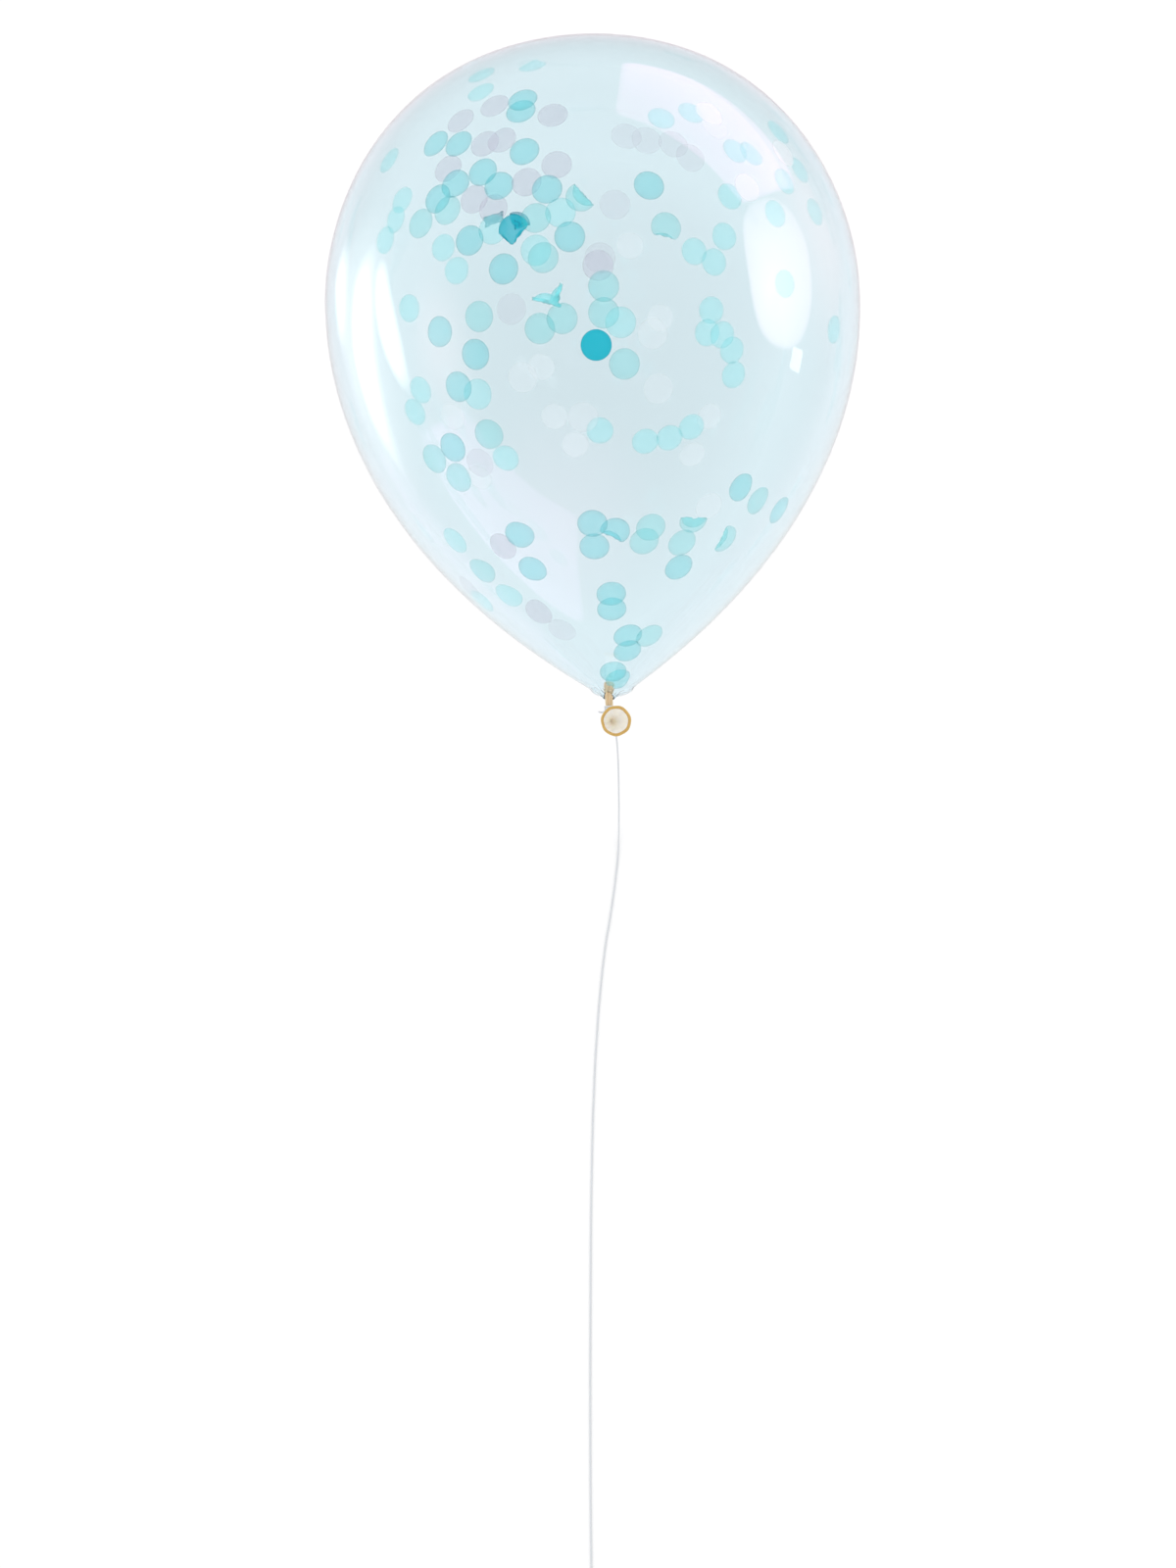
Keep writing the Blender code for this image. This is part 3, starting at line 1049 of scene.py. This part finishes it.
        # The rim attribute: nought inside, rising to one at each disc's edge, where the paper is
        # drawn darker, partly as painted shade.
        rims = [0.0] + [
            max(0.0, (share - self.rim_start) / (1 - self.rim_start)) ** 2
            for share in self.shares[1:] for _ in range(self.sides)
        ]
        pieces = []
        for tone, (points, faces) in by_tone.items():
            name = f"confetti_{tone.name.lower()}"
            piece = mesh_object(name, points, faces, TissuePaper(tone).build())
            set_values(piece, "rim", rims * (len(points) // len(rims)))
            hide_from(piece, "shadow", "diffuse")
            pieces.append(piece)
        return pieces


# ---- string


@dataclass
class TwistedCord:
    """Strands twisted into one thin cord, which can follow several paths in one piece."""

    radius: float = 0.5 * MM
    strands: int = 3
    lay: float = 3.4 * MM
    step: float = 0.42 * MM
    sides: int = 18
    groove: float = 0.26
    points: list[Vector] = field(default_factory=list)
    faces: list[Face] = field(default_factory=list)

    def spaced(self, path: Sequence[Vector]) -> list[Vector]:
        """Reads a path again at points a step apart.

        Args:
            path: The path's points.

        Returns:
            The points.
        """
        made = [path[0].copy()]
        for after in path[1:]:
            while (after - made[-1]).length >= self.step:
                made.append(made[-1] + (after - made[-1]).normalized() * self.step)
        return made

    def add(self, path: Sequence[Vector]) -> list[Vector]:
        """Lays the cord along a path.

        Args:
            path: The points of its centre line.

        Returns:
            The centre of each of its rings.
        """
        centres = self.spaced(path)
        first = len(self.points)
        side_way = (centres[1] - centres[0]).orthogonal().normalized()
        for index, (centre, a, b, _) in enumerate(ways_along(centres, side_way)):
            twist = tau * index * self.step / self.lay
            for turn in circle(self.sides):
                lobe = abs(cos(self.strands * (turn - twist) / 2))
                out = self.radius * (1 - self.groove * (1 - lobe))
                self.points.append(centre + (a * cos(turn) + b * sin(turn)) * out)
        self.faces += capped_tube(len(centres), self.sides, first)
        return centres

    def build(self, name: str, finish: Material) -> Object:
        """Makes one piece of everything laid so far."""
        cord = mesh_object(name, self.points, self.faces, finish)
        orient_outward(cord)
        return cord


def knot_path(
    middle: Vector, size: float, stretch: Sequence[float], steps: int = 96
) -> list[Vector]:
    """Works out the closed path of a small tight knot.

    Args:
        middle: The knot's middle.
        size: Its radius, to the path's furthest point.
        stretch: Its stretch along each axis.
        steps: How many steps the path has.

    Returns:
        The path's points.
    """
    made = []
    for t in [*circle(steps), tau]:
        spot = Vector((
            sin(t) + 2 * sin(2 * t),
            cos(t) - 2 * cos(2 * t),
            -sin(3 * t),
        )) / 3
        made.append(middle + Vector(a * b for a, b in zip(spot, stretch)) * size)
    return made


@dataclass
class BalloonString:
    """The string: the turns round the neck, its free length, and the hand loop at its end."""

    form: BalloonForm
    finish: TwistedString = field(default_factory=TwistedString)
    radius: float = 0.5 * MM
    tie_middle_mm: Triple = (-2.0, 9.0, -216.2)
    tie_radius: float = 2.35 * MM
    tie_turns: int = 3
    turn_steps: int = 40
    tie_knot: float = 1.0 * MM
    tie_knot_drop: float = 0.8 * MM
    tie_knot_stretch: Triple = (1.1, 1.1, 1.3)
    cut_end_mm: tuple[Triple, ...] = (
        (0.0, 0.0, 0.0), (-2.25, -1.35, -0.72), (-4.5, -3.78, -0.9), (-5.58, -6.75, -0.18),
    )
    end_knot: float = 1.1 * MM
    end_knot_out: float = 2.3 * MM
    end_knot_stretch: Triple = (1.1, 1.3, 0.8)
    loop_steps: int = 72
    route_steps: int = 8
    cut_end_steps: int = 10
    loop_length: float = 24.0 * MM
    loop_width: float = 9.0 * MM
    loop_start: float = 0.06
    route_mm: tuple[Triple, ...] = (
        (-1.4, -201.6, 97.6), (-0.6, -203.2, 93.0), (0.3, -205.0, 86.0), (0.9, -206.8, 77.0),
        (1.3, -208.8, 66.0), (1.5, -211.2, 54.0), (1.5, -214.2, 42.0), (1.4, -218.0, 30.0),
        (1.2, -223.2, 18.5), (0.8, -230.4, 8.6), (0.2, -240.0, 2.6), (-0.8, -251.0, 0.8),
        (-2.9, -265.0, 0.6), (-6.2, -283.0, 0.6), (-10.4, -303.0, 0.6), (-14.6, -330.0, 0.6),
        (-18.2, -360.0, 0.6), (-21.0, -390.0, 0.6), (-23.2, -420.0, 0.6), (-25.4, -455.0, 0.6),
        (-27.4, -492.0, 0.6), (-29.4, -530.0, 0.6), (-31.2, -568.0, 0.6), (-32.7, -604.0, 0.6),
        (-34.0, -638.0, 0.7),
    )

    def path(self) -> list[Vector]:
        """The free length's centre line."""
        route = [tuple(v * MM for v in p) for p in self.route_mm]
        return [Vector(p) for p in smooth_points(route, self.route_steps)]

    def build_tie(self, finish: Material) -> Object:
        """Makes the turns round the neck, their knot and its short cut end."""
        cord = TwistedCord(self.radius)
        across, up, along = (v * MM for v in self.tie_middle_mm)
        turns = []
        for step in range(self.tie_turns * self.turn_steps + 1):
            turn = tau * step / self.turn_steps - pi / 2
            rise = (step / self.turn_steps - self.tie_turns / 2) * 2 * self.radius
            turns.append(self.form.world(
                across + self.tie_radius * cos(turn),
                up + self.tie_radius * sin(turn),
                along + rise,
            ))
        cord.add(turns)
        knot_up = up - self.tie_radius - self.tie_knot_drop
        knot = self.form.world(across + self.radius, knot_up, along)
        cord.add(knot_path(knot, self.tie_knot, self.tie_knot_stretch))
        cut_end = [
            self.form.world(across + x * MM, knot_up + y * MM, along + z * MM)
            for x, y, z in self.cut_end_mm
        ]
        cord.add([Vector(p) for p in smooth_points(cut_end, self.cut_end_steps)])
        return cord.build("balloon_string_tie", finish)

    def build_loop(self, finish: Material) -> Object:
        """Makes the hand loop at the string's end, with its knot, flat on the floor."""
        cord = TwistedCord(self.radius)
        before, last = (Vector(point) * MM for point in self.route_mm[-2:])
        way = (last - before).normalized()
        side = Vector((-way.y, way.x, 0.0))
        knot = last + way * self.end_knot_out
        points = []
        for step in range(self.loop_steps + 1):
            share = step / self.loop_steps
            turn = tau * (self.loop_start + (1 - 2 * self.loop_start) * share)
            out = self.loop_length * (1 - cos(turn)) / 2
            wide = self.loop_width / 2 * sin(turn) * sqrt(sin(turn / 2))
            points.append(knot + way * out + side * wide)
            points[-1].z = last.z
        cord.add(points)
        cord.add([last, knot])
        knot.z = self.end_knot * self.end_knot_stretch[2] + self.radius
        cord.add(knot_path(knot, self.end_knot, self.end_knot_stretch))
        return cord.build("balloon_string_loop", finish)

    def build(self) -> list[Object]:
        """Makes the string's three pieces, and hides the CAD's string parts.

        Returns:
            The free length, the tie and the hand loop.
        """
        finish = self.finish.build()
        cord = TwistedCord(self.radius)
        centres = cord.add(self.path())
        string = cord.build("balloon_string", finish)
        tie = self.build_tie(finish)
        loop = self.build_loop(finish)
        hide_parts("string")
        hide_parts("string_tie")
        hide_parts("string_loop")
        return [string, tie, loop]


# ---- studio


@dataclass(frozen=True)
class LitCloth:
    """A softbox's cloth: lit from behind, brighter near its lamp and fading at its edge."""

    name: str
    colour: str
    radiance: float

    def build(self) -> Material:
        """Makes the material."""
        material, tree = new_material(f"lit_cloth_{self.name}")
        glow = add_node(tree, "ShaderNodeAttribute", {"attribute_name": "glow"})
        lit = add_node(tree, "ShaderNodeMath", {"operation": "MULTIPLY", 1: self.radiance},
                       {0: glow.outputs["Fac"]})
        cloth = add_node(tree, "ShaderNodeEmission", {"Color": linear(self.colour)},
                         {"Strength": lit.outputs["Value"]})
        behind = add_node(tree, "ShaderNodeBsdfTransparent")
        material.cycles.emission_sampling = "NONE"
        return surfaced(material, {}, {
            0: cloth.outputs["Emission"],
            1: behind.outputs["BSDF"],
        }, "ShaderNodeAddShader")


@dataclass(frozen=True)
class Softbox:
    """A softbox, placed by direction as the camera sees the balloon.

    Its length runs round the balloon's outline and its depth runs towards the camera, before
    it is rolled about the line to the balloon. A squareness of two makes an oval, and more
    makes a box with rounder or sharper corners. The lamp's place is in shares of half the
    length and depth, and the dimming is what is lost at the edge furthest from it. The rings
    that the front is made of crowd towards its edge, where it fades.
    """

    name: str
    aside: float
    upward: float
    towards: float
    length: float
    depth: float
    radiance: float
    squareness: float = 2.0
    fade: float = 0.1
    lamp: Pair = (0.0, 0.0)
    dimming: float = 0.0
    roll_deg: float = 0.0
    inner: bool = False
    colour: str = "ffffff"
    distance: float = 1.3
    sides: int = 96
    rings: int = 12
    crowding: float = 1.5

    def build(self, middle: Vector, axes: tuple[Vector, Vector, Vector]) -> Object:
        """Makes the softbox's front.

        Args:
            middle: The balloon's middle, which it faces.
            axes: The camera's right, up and back ways.

        Returns:
            The front.
        """
        right, up, back = axes
        way = (right * self.aside + up * self.upward + back * self.towards).normalized()
        side = way.cross(back).normalized()
        furthest = 1.0 + hypot(*self.lamp)
        points = [Vector()]
        glow = []
        for ring in range(1, self.rings + 1):
            share = 1 - (1 - ring / self.rings) ** self.crowding
            edge = smoothstep(0.0, self.fade, 1.0 - share)
            for turn in circle(self.sides):
                x, y = (
                    copysign(abs(v) ** (2 / self.squareness), v) * share
                    for v in (cos(turn), sin(turn))
                )
                away = hypot(x - self.lamp[0], y - self.lamp[1])
                glow.append(edge * (1.0 - self.dimming * min(1.0, away / furthest)))
                points.append(Vector((x * self.length / 2, y * self.depth / 2, 0.0)))
        faces = ring_faces(self.rings, self.sides, 1)
        faces += [face[::-1] for face in fan_faces(0, self.sides)]
        cloth = LitCloth(self.name, self.colour, self.radiance)
        front = mesh_object(self.name, points, faces, cloth.build())
        set_values(front, "glow", [glow[0], *glow])
        front.matrix_world = (
            Matrix.Translation(middle + way * self.distance)
            @ Matrix((side, way.cross(side), way)).transposed().to_4x4()
            @ Matrix.Rotation(radians(-self.roll_deg), 4, "Z")
        )
        hide_from(front, "camera", "diffuse", "shadow")
        front.visible_transmission = self.inner
        return front


def sky_ramp(
    tree: NodeTree,
    height: NodeSocket,
    stops: Sequence[tuple[float, str]],
) -> NodeSocket:
    """Adds a ramp that colours the surroundings by height.

    Args:
        tree: The world's node tree.
        height: Nought straight down, and one straight up.
        stops: The rise of each stop, from minus one to one, and its sRGB colour.

    Returns:
        The colour.
    """
    node = add_node(tree, "ShaderNodeValToRGB", {}, {"Fac": height})
    ramp = node.color_ramp
    while len(ramp.elements) < len(stops):
        ramp.elements.new(1.0)
    for stop, (rise, colour) in zip(ramp.elements, stops):
        stop.position = 0.5 + 0.5 * rise
        stop.color = linear(colour)
    return node.outputs["Color"]


@dataclass
class Studio:
    """The floor, the lights and the camera."""

    form: BalloonForm
    lens_mm: float = 85.0
    sensor_mm: float = 36.0
    distance: float = 1.95
    off_square: float = radians(5.0)
    lean: float = radians(2.9)
    above_centre: float = 253.4 * MM
    aside: float = 2.3 * MM
    floor_size: float = 12.0
    see_through_layers: int = 24
    overhead: float = 2.90
    overhead_spread: float = radians(150.0)
    seen_sky: tuple[tuple[float, str], ...] = (
        (-1.0, "ffffff"), (0.0, "ffffff"), (0.30, "b0b0b2"), (0.70, "5c5c5e"),
    )
    mirrored_sky: tuple[tuple[float, str], ...] = (
        (-0.97, "ffffff"), (-0.86, "faf4f8"), (-0.70, "f4e8f0"), (-0.55, "b0a2aa"),
        (-0.40, "7c7c80"), (-0.15, "707074"), (0.45, "5c5c5e"),
    )
    softboxes: tuple[Softbox, ...] = (
        Softbox("high_right_box", 0.50, 0.785, -0.03, 1.26, 0.98, 1.85, 14.0, 0.04, (0.8, 0.0), 0.35,
                inner=True, colour="ffadd3"),
        Softbox("right_box", 0.92, 0.20, 0.10, 0.94, 0.88, 6.4, 2.5, 0.10, (0.25, -0.4), 0.8,
                colour="ffd9e0"),
        Softbox("right_tip", 0.975, -0.135, -0.08, 0.11, 0.16, 4.0, 8.0),
        Softbox("right_glow", 0.86, 0.33, -0.33, 1.4, 1.3, 1.3, 2.0, 1.0, colour="ffaaa8"),
        Softbox("low_glow", -0.15, -0.78, 0.50, 1.9, 1.6, 1.0, 2.0, 1.0, colour="ffaacb"),
        Softbox("left_soft_oval", -0.90, -0.17, 0.40, 1.2, 0.9, 2.2, 2.0, 1.0, colour="ffcbcb"),
        Softbox("left_oval", -0.93, -0.07, -0.38, 1.15, 0.51, 5.5, 2.0, 0.7, (0.2, 0.2), 0.4,
                roll_deg=20.0),
        Softbox("left_inner_oval", -0.99, -0.04, -0.06, 0.80, 0.32, 5.0, 2.0, 0.4, roll_deg=-17.0),
        Softbox("left_glow", -0.90, -0.04, -0.36, 1.6, 1.3, 1.6, 2.0, 0.9, roll_deg=12.0),
        Softbox("left_low_oval", -0.74, 0.13, -0.64, 0.44, 0.45, 2.3, 2.0, 0.9),
    )

    def camera_axes(self) -> tuple[Vector, Vector, Vector]:
        """The camera's right, up and back ways."""
        turn = self.form.rest_tilt + self.off_square
        back = Vector((0.0, -sin(turn), cos(turn)))
        level_up = Vector((0.0, cos(turn), sin(turn)))
        level_right = Vector((1.0, 0.0, 0.0))
        right = level_right * cos(self.lean) - level_up * sin(self.lean)
        up = level_up * cos(self.lean) + level_right * sin(self.lean)
        return right, up, back

    def camera_place(self) -> Vector:
        """Where the camera is."""
        right, up, back = self.camera_axes()
        beside = self.form.centre - up * self.above_centre - right * self.aside
        return beside + back * self.distance

    def build_camera(self) -> None:
        """Makes the camera that looks down on the lying balloon."""
        data = bpy.data.cameras.new("camera")
        data.lens = self.lens_mm
        data.sensor_width = self.sensor_mm
        camera = bpy.data.objects.new("camera", data)
        turned = Matrix(self.camera_axes()).transposed().to_4x4()
        camera.matrix_world = Matrix.Translation(self.camera_place()) @ turned
        bpy.context.scene.collection.objects.link(camera)
        bpy.context.scene.camera = camera

    def build_floor(self) -> None:
        """Makes the floor, which the skin's gloss doesn't mirror."""
        half = self.floor_size / 2
        corners = [
            Vector((x, y, 0.0))
            for x, y in ((-half, -half), (half, -half), (half, half), (-half, half))
        ]
        floor = mesh_object("floor", corners, [(0, 1, 2, 3)], WhiteFloor().build())
        hide_from(floor, "glossy")

    def build_world(self) -> None:
        """Makes the surroundings: one sky to look at and to light by, and one in reflections."""
        world = bpy.data.worlds.new("studio")
        world.use_nodes = True
        tree = world.node_tree
        way = add_node(tree, "ShaderNodeTexCoord")
        parts = add_node(tree, "ShaderNodeSeparateXYZ", {}, {"Vector": way.outputs["Generated"]})
        height = add_node(tree, "ShaderNodeMapRange", {"From Min": -1.0},
                          {"Value": parts.outputs["Z"]})
        ray = add_node(tree, "ShaderNodeLightPath")
        mirrored = add_node(tree, "ShaderNodeMath", {"operation": "SUBTRACT", "use_clamp": True}, {
            0: ray.outputs["Is Glossy Ray"],
            1: ray.outputs["Is Transmission Ray"],
        })
        mixed = add_node(tree, "ShaderNodeMixRGB", {}, {
            "Fac": mirrored.outputs["Value"],
            "Color1": sky_ramp(tree, height.outputs["Result"], self.seen_sky),
            "Color2": sky_ramp(tree, height.outputs["Result"], self.mirrored_sky),
        })
        tree.links.new(mixed.outputs["Color"], tree.nodes["Background"].inputs["Color"])
        bpy.context.scene.world = world

    def build_lights(self) -> None:
        """Makes the overhead diffuser and the softboxes."""
        lamp = bpy.data.lights.new("overhead_diffuser", "SUN")
        lamp.energy = self.overhead
        lamp.angle = self.overhead_spread
        overhead = bpy.data.objects.new(lamp.name, lamp)
        hide_from(overhead, "camera", "glossy", "transmission")
        bpy.context.scene.collection.objects.link(overhead)
        for softbox in self.softboxes:
            softbox.build(self.form.centre, self.camera_axes())

    def build(self) -> None:
        """Makes the whole studio."""
        self.build_camera()
        self.build_floor()
        self.build_world()
        self.build_lights()
        bpy.context.scene.view_settings.view_transform = "Standard"
        bpy.context.scene.cycles.transparent_max_bounces = self.see_through_layers


# ---- the whole


def main() -> None:
    """Builds the studio, the string, the balloon and its confetti."""
    form = BalloonForm()
    studio = Studio(form)
    studio.build()
    strings = BalloonString(form).build()
    latex = [Skin(form).build(), NeckAndTail(form).build()]
    for piece in latex:
        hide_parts("balloon")
    right, up, _ = studio.camera_axes()
    discs = Confetti(form, studio.camera_place(), right, up).build()
    for piece in [*strings, *latex, *discs]:
        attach(piece, BODY)
        log.info("%s: %d points", piece.name, len(piece.data.vertices))


if __name__ == "__main__":
    main()
